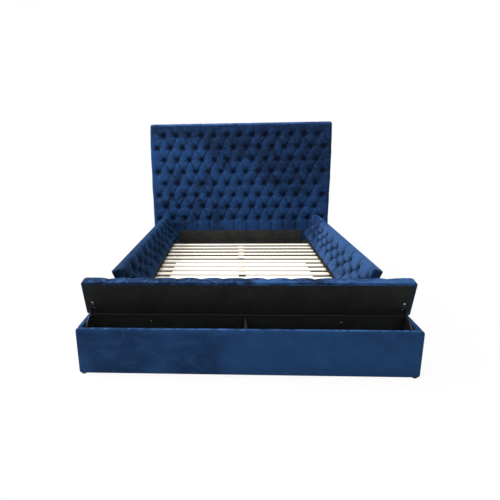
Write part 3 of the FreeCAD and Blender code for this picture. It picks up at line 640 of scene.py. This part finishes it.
def tufted_cover(name, size, block_style, rows, pleat_style, button_style, belly, slackness,
                 seed, place, marking=0.9, end_shade=0.0, taper=0.0, settled=0.0):
    """Make a tufted cover, carry it to its place and mark its folds' painted shade."""
    length, width, depth = size
    rise = block_style["rise"]
    block = padded_block(name, length, width, depth, tail=0.03, **block_style)
    bpy.ops.object.select_all(action="DESELECT")
    block.select_set(True)
    bpy.context.view_layer.objects.active = block
    level = block.modifiers.new("finer cloth", "SUBSURF")
    level.subdivision_type = "SIMPLE"
    level.levels = level.render_levels = 1
    bpy.ops.object.modifier_apply(modifier=level.name)
    points = read_points(block)
    normals = np.empty(len(points) * 3, np.float32)
    block.data.vertices.foreach_get("normal", normals)
    normals = normals.reshape(-1, 3).astype(float)
    face = np.clip((points[:, 2] - (depth - rise)) / rise, 0, 1)
    flat = points[:, :2] + np.sign(points[:, :2]) * ((1 - face) * rise * 0.5)[:, None]
    lines = pleats_of(rows, length / 2 + PLEATS_PAST[0], width / 2 + PLEATS_PAST[1],
                      **pleat_style)
    deep, fold_shade = sink(flat, rows, lines, seed=seed, **button_style)
    slack = slackness * (ripples(flat, 0.16, seed + 1) + 0.6 * ripples(flat, 0.055, seed + 2))
    rumpled = np.clip(1.4 * ripples(flat, 0.45, seed + 4) - 0.3, 0, 1)
    slack += RUMPLE * rumpled * ripples(flat * (0.7, 1.3), 0.026, seed + 5)
    wall = np.clip(points[:, 2] / (depth - rise), 0, 1)
    share = np.clip(face * 1.6, 0.5 * wall, 1)
    sunk = (deep + SLACK_ROOM + np.clip(slack, -SLACK_ROOM, 0.004)) * share
    across = points[:, 0] / (length / 2)
    upward = points[:, 1] / (width / 2)
    swell = belly * (1 + 0.3 * ripples(flat * (0.2, 1), 0.35, seed + 3))
    points[:, 0] += np.sign(across) * np.abs(across) ** 8 * (1 - upward ** 4) * swell * wall
    points[:, 0] -= across * taper * (1 - upward) / 2
    points[:, 1] -= abs(settled) * np.clip(upward, 0, 1) * (1 + np.sign(settled) * across) / 2
    points -= normals * sunk[:, None]
    write_points(block, points)
    # Painted shade on the walls of the two ends, and in the folds.
    end_wall = (np.abs(across) > 0.985) & (face < 0.6)
    marked = np.maximum(fold_shade * share * marking, end_shade * end_wall)
    mark = block.data.attributes.new("fold_shade", "FLOAT", "POINT")
    mark.data.foreach_set("value", marked.astype(np.float32))
    block.data.transform(place)
    block.data.update()
    bpy.ops.object.shade_smooth()
    return block

# %% [markdown]
# ## The headboard's cover
# The headboard has eight rows of buttons in diamonds. Its cover goes from its face round the
# sides of its board. The faces on top of every upholstered edge get a lighter velvet, a
# painted highlight of the light from above.

# %% Cover the headboard
RIM_DEPTH = 0.02            # metres below the top that count as its rim
HEADBOARD_SIZE = 2.044, 1.62, 0.105     # across, up and from back to front
HEADBOARD_FOOT = 0.02       # metres from the floor
FIRST_BUTTON_ROW = 0.137    # metres down from the top


def lighten_rim(piece):
    """Give the faces on top of a piece a lighter velvet: a painted highlight."""
    piece.data.materials.append(velvet_rim_highlight)
    rim = read_points(piece)[:, 2].max() - RIM_DEPTH
    for face in piece.data.polygons:
        face.material_index = int(face.normal.z > 0.6 and face.center.z > rim)


half_height = HEADBOARD_SIZE[1] / 2
HEADBOARD_ROWS = diamonds(14, 0.1445, 8, half_height - FIRST_BUTTON_ROW, -0.1365, False)
headboard_cover = tufted_cover(
    "headboard_cover", HEADBOARD_SIZE,
    {"roll": 0.034, "rise": 0.046, "corner": 0.026, "cell": 0.0112},
    HEADBOARD_ROWS,
    {"inner": ((0.016, 0.0065, 0.016), 0.016),
     "to_first": ((0.010, 0.003, 0.001), 0.020, 0.0),
     "to_last": ((0.014, 0.005, 0.004), 0.020, 0.0),
     "to_ends": ((0.012, 0.004, 0.003), 0.020, 0.0)},
    {"button_depth": 0.0265, "dimple": 0.034, "crease": 0.0075, "shade": (-0.003, 0.007),
     "darkened": 0.9},
    belly=0.012, slackness=0.0009, seed=11,
    place=place_at((0, 1.224, HEADBOARD_FOOT + half_height), (0, 0, 1), (0, -1, 0)))
finish_piece(headboard_cover, velvet_headboard, "bed_frame",
             ("headboard_pad", "headboard_board"))
lighten_rim(headboard_cover)

# %% [markdown]
# ## The lids' covers
# A lid has three rows of buttons, and its cover goes round its foam and its board to the
# underside. On the side lids the buttons leave the outer third of the lid smooth, with curved
# pleats up to the edge. The padding swells past the board at the lid's free edge, where the
# pleats part it into a row of low scallops. Towards the head of the bed it has settled, and
# hardly passes the board.

# %% Covers of the three lids
BOARD_FRONT = 0.0018    # metres from the hinge axis out to the lid's underside
HINGE_GAP = 0.0045      # metres from the hinge axis along to the lid's edge
FULLER = 0.008          # metres that the padding swells past its plain thickness

FOOT_SIZE = 2.166, 0.257, 0.078     # length, reach from the hinge to the free edge, thickness
SIDE_SIZE = 2.016, 0.2975, 0.072
FOOT_TUFTS = 13, 0.154, 0.062, 0.052    # columns, their spacing, the first row, the row pitch
SIDE_TUFTS = 11, 0.195, 0.088, 0.060
FOOT_HINGE_END = 1.08   # metres from the middle of the foot lid to its end at the hinge

FOOT_PLEATS = {
    "inner": ((0.025, 0.018, 0.025), 0.022),
    "to_first": ((0.020, 0.013, 0.009), 0.022, 0.0),
    "to_last": ((0.022, 0.017, 0.013), 0.030, 0.0),
    "to_ends": ((0.013, 0.006, 0.004), 0.020, 0.0)}
RIGHT_PLEATS = dict(FOOT_PLEATS, to_last=((0.025, 0.021, 0.014), 0.034, 0.018))
LEFT_PLEATS = dict(FOOT_PLEATS, inner=((0.021, 0.013, 0.021), 0.024),
                   to_last=((0.020, 0.012, 0.005), 0.038, 0.018))


def lid_cover(side, place, size, tufts, pleats, velvet, seed, **wear):
    """Make the cover of a lid, from its gap at the hinge to its free edge."""
    length, free_edge, thick = size
    columns, spacing, first, pitch = tufts
    width = free_edge - HINGE_GAP
    middle = HINGE_GAP + width / 2
    cover = tufted_cover(
        f"{side}_lid_cover", (length, width, thick + FULLER),
        {"roll": 0.028, "rise": 0.034, "corner": 0.013, "cell": 0.009},
        diamonds(columns, spacing, 3, first - middle, pitch, True), pleats,
        {"button_depth": 0.0265 + FULLER, "dimple": 0.030, "crease": 0.0105,
         "shade": (0, 0.005), "darkened": 1.15},
        belly=0, slackness=0.0014, seed=seed,
        place=place @ Matrix.Translation((0, middle, BOARD_FRONT)), **wear)
    finish_piece(cover, velvet, f"{side}_lid",
                 (f"{side}_lid_pad", f"{side}_lid_board"))


# The foot and right lids wear lighter copies of the velvet, painted light, and the left lid a
# darker copy, painted shade. end_shade paints shade on the walls of the ends.
lid_cover("foot", FOOT_LID, FOOT_SIZE, FOOT_TUFTS, FOOT_PLEATS, velvet_lid_edge, 24,
          marking=0.9, end_shade=0.35, taper=FOOT_SIZE[0] / 2 - FOOT_HINGE_END)
lid_cover("right", RIGHT_LID, SIDE_SIZE, SIDE_TUFTS, RIGHT_PLEATS, velvet_lit_copy, 25,
          marking=0.95, end_shade=0.55, settled=-0.022)
lid_cover("left", LEFT_LID, SIDE_SIZE, SIDE_TUFTS, LEFT_PLEATS, velvet_shaded_copy, 24,
          marking=0.5, settled=0.026)

# %% [markdown]
# ## Covered boards
# The walls of the boxes are boards with a thin layer of foam under the same velvet. The cloth
# is pulled over the rim, so every edge is soft, and it is never quite flat. It is turned
# under below the board, so it hangs a little lower. Its rim gets the painted highlight too.

# %% Covers of the box walls
CLOTH_HANG = 0.005      # metres that the cloth hangs below a board
UNEVEN = 0.0007         # metres that a board's cloth lies below its full depth, on average


def covered_board(name, node, size, depth, roll, place, seed, material=velvet_panel):
    """Make the soft cover of a board, a little uneven over its face."""
    block = padded_block(name, size[0], size[1], depth, roll=roll, rise=roll,
                         corner=roll * 1.2, cell=0.022, tail=0.004)
    points = read_points(block)
    face = points[:, 2] > depth - roll
    points[:, 2] -= face * UNEVEN * (1 + ripples(points[:, :2], 0.3, seed))
    write_points(block, points)
    bpy.ops.object.select_all(action="DESELECT")
    block.select_set(True)
    bpy.context.view_layer.objects.active = block
    block.data.transform(place)
    block.data.update()
    bpy.ops.object.shade_smooth_by_angle(angle=math.radians(50))
    finish_piece(block, material, "bed_frame", (node,))
    # The rim of a velvet board gets a painted highlight.
    if material == velvet_panel:
        lighten_rim(block)


def wall_cover(node, outward, roll, seed):
    """Cover a wall of a box from its inner face outwards."""
    low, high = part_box(node)
    size, outward = high - low, Vector(outward)
    thickness = round(abs(size.dot(outward)), 6)
    length = round(abs(size.cross(outward).z), 6)
    height = round(size.z, 6) + CLOTH_HANG
    inner_face = (low + high) / 2 - outward * thickness / 2
    inner_face.z -= CLOTH_HANG / 2
    covered_board(f"{node}_cover", node, (length, height), thickness, roll,
                  place_at(inner_face, (0, 0, 1), outward), seed)


wall_cover("foot_box_front", (0, -1, 0), 0.010, 31)
for side, sign in (("left", -1), ("right", 1)):
    wall_cover(f"foot_box_side_{side}", (sign, 0, 0), 0.006, 32)
    wall_cover(f"rail_{side}_outer", (sign, 0, 0), 0.006, 33)

# %% [markdown]
# ## Lining cloths
# Black lining is stapled over every bare board: the undersides of the lids, the insides of
# the box walls and the back of the headboard. A sheet is a grid given the thickness of a
# cloth, pulled flat, with a little slack left between the staples.

# %% Cut and stretch the linings
CLOTH_THICKNESS = 0.0006    # metres
CLOTH_CELL = 0.03       # metres between the points of a lining's grid


def lining_sheet(name, size, place, body, material, slack=0.0003, nodes=()):
    """Stretch a lining over a board: X along, Y across, seen from +Z."""
    bpy.ops.object.select_all(action="DESELECT")
    bpy.ops.mesh.primitive_grid_add(
        x_subdivisions=round(size[0] / CLOTH_CELL), y_subdivisions=round(size[1] / CLOTH_CELL),
        size=1)
    cloth = bpy.context.object
    cloth.name = cloth.data.name = name
    cloth.data.transform(Matrix.Diagonal((size[0], size[1], 1, 1)))
    points = read_points(cloth)
    points[:, 2] = slack * ripples(points[:, :2] * (1, 0.5), 0.25, len(name))
    write_points(cloth, points)
    thick = cloth.modifiers.new("cloth thickness", "SOLIDIFY")
    thick.thickness = CLOTH_THICKNESS
    bpy.ops.object.modifier_apply(modifier=thick.name)
    cloth.data.transform(place)
    cloth.data.update()
    bpy.ops.object.shade_smooth_by_angle(angle=math.radians(40))
    finish_piece(cloth, material, body, nodes)


LEAF_END = 0.0350       # metres from the hinge axis to the end of the hinge's leaf
UNDERSIDE = 0.0013      # metres from the hinge axis out to the middle of the lid's lining
turned_over = Matrix.Rotation(math.pi, 4, "X")

for side, place, half_length, far_edge in (
        ("foot", FOOT_LID, 1.070, 0.237), ("right", RIGHT_LID, 0.998, 0.2605),
        ("left", LEFT_LID, 0.998, 0.2605)):
    lining_sheet(
        f"{side}_lid_lining_cloth", (half_length * 2, far_edge - LEAF_END),
        place @ Matrix.Translation((0, (far_edge + LEAF_END) / 2, UNDERSIDE)) @ turned_over,
        f"{side}_lid", lining_black, 0.00025, (f"{side}_lid_lining",))

WALL_CLOTH = 0.252      # metres that a lining reaches up the inside of a wall
WALL_MIDDLE = 0.188     # metres from the floor to the middle of it
PROUD = 0.0007          # metres from a wall to the middle of its lining

lining_sheet("foot_box_front_lining", (2.094, WALL_CLOTH),
             place_at((0, -1.194 + PROUD, WALL_MIDDLE), (0, 0, 1), (0, 1, 0)), "bed_frame",
             lining_inside)
for side, sign in (("left", -1), ("right", 1)):
    for node, low_y, high_y in ((f"foot_box_side_{side}", -1.192, -0.996),
                                (f"rail_{side}_outer", -0.909, 1.099)):
        lining_sheet(f"{node}_lining", (high_y - low_y, WALL_CLOTH),
                     place_at(((1.05 - PROUD) * sign, (low_y + high_y) / 2, WALL_MIDDLE),
                              (0, 0, 1), (-sign, 0, 0)), "bed_frame", lining_inside)

# %% [markdown]
# ## The headboard's linings
# Below its tufted part the headboard is covered with black lining instead: a padded strip
# that shows above the slats, a skirt behind the slats down to its foot, and a cloth over the
# whole back.

# %% Line the headboard
LOWER_WIDTH = 1.462     # metres of lining between the side boxes

lining_sheet("headboard_skirt", (LOWER_WIDTH, 0.25),
             place_at((0, 1.1178, 0.159), (0, 0, 1), (0, -1, 0)), "bed_frame", lining_lit)
lining_sheet("headboard_back_lining", (1.98, 1.56),
             place_at((0, 1.2250, 0.83), (0, 0, 1), (0, 1, 0)), "bed_frame", lining_black, 0.0004)
covered_board("headboard_lower_cover", "headboard_lower_panel", (LOWER_WIDTH, 0.121), 0.0078,
              0.003, place_at((0, 1.119, 0.3455), (0, 0, 1), (0, -1, 0)), 34, lining_lit)

# %% [markdown]
# ## Screw heads
# A few bright heads show in the dark: two on each bracket of the foot lid, a large one and a
# small one, and three on the back wall of the foot box. Each is a short cylinder with a
# rounded rim.

# %% Zinc screw heads
def screw_head(name, place, body, radius=0.0054, height=0.0034):
    """Make a low round head on a surface, seen from +Z."""
    bpy.ops.object.select_all(action="DESELECT")
    bpy.ops.mesh.primitive_cylinder_add(
        vertices=24, radius=radius, depth=height, location=(0, 0, height / 2))
    head = bpy.context.object
    head.name = head.data.name = name
    bpy.ops.object.transform_apply(location=True)
    rim = head.modifiers.new("rounded rim", "BEVEL")
    rim.width, rim.segments = height * 0.4, 3
    bpy.ops.object.modifier_apply(modifier=rim.name)
    head.data.transform(place)
    head.data.update()
    bpy.ops.object.shade_smooth_by_angle(angle=math.radians(40))
    finish_piece(head, zinc, body)


BRACKET_FACE = -0.0015  # metres from the hinge axis out to the face of the bracket's foot
BACK_WALL_FACE = -0.9945    # metres along Y to the front of the foot box's back wall

for side, sign in (("left", -1), ("right", 1)):
    for which, x, reach, radius in (("outer", 1.0265, 0.1005, 0.0054),
                                    ("inner", 1.0205, 0.056, 0.0025)):
        screw_head(f"foot_lid_{side}_{which}_screw",
                   FOOT_LID @ Matrix.Translation((x * sign, reach, BRACKET_FACE)) @ turned_over,
                   "foot_lid", radius)
for number, (x, z) in enumerate(((-0.64, 0.274), (0.64, 0.274), (-0.04, 0.225))):
    screw_head(f"foot_box_bolt_{number}",
               place_at((x, BACK_WALL_FACE, z), (0, 0, 1), (0, -1, 0)), "bed_frame",
               0.0045, 0.0024)

# %% [markdown]
# ## Hard parts
# The inner boards, slats, hinges, struts, screws and glides have their right shape in the CAD
# model, so they stay as they are and only get their finish. The inner boards are lined, so
# what isn't named here gets the lining.

# %% Finish the CAD pieces that stay
def node_finish(name):
    """Choose the finish of a CAD node from its name."""
    if name.endswith("_buttons"):
        return velvet_button
    if name == "cross_rail":
        return velvet_panel
    if name == "slats":
        return pine
    if name == "centre_rail":
        return rail_wood
    if name.endswith("leaf"):
        return hinge_coat
    if name.endswith("_rod"):
        return rod_steel
    if name in ("frame_screws", "strut_studs"):
        return zinc
    if name == "feet":
        return moulded
    if name.endswith("_ledge"):
        return black_wood
    if "hinge" in name or name.endswith(("_brackets", "_tube", "_legs")):
        return powder_coat
    return lining_inside


finished = 0
for name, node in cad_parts.items():
    if not node.hide_render:
        node.data.materials.clear()
        node.data.materials.append(node_finish(name))
        finished += 1
print("CAD pieces finished:", finished)
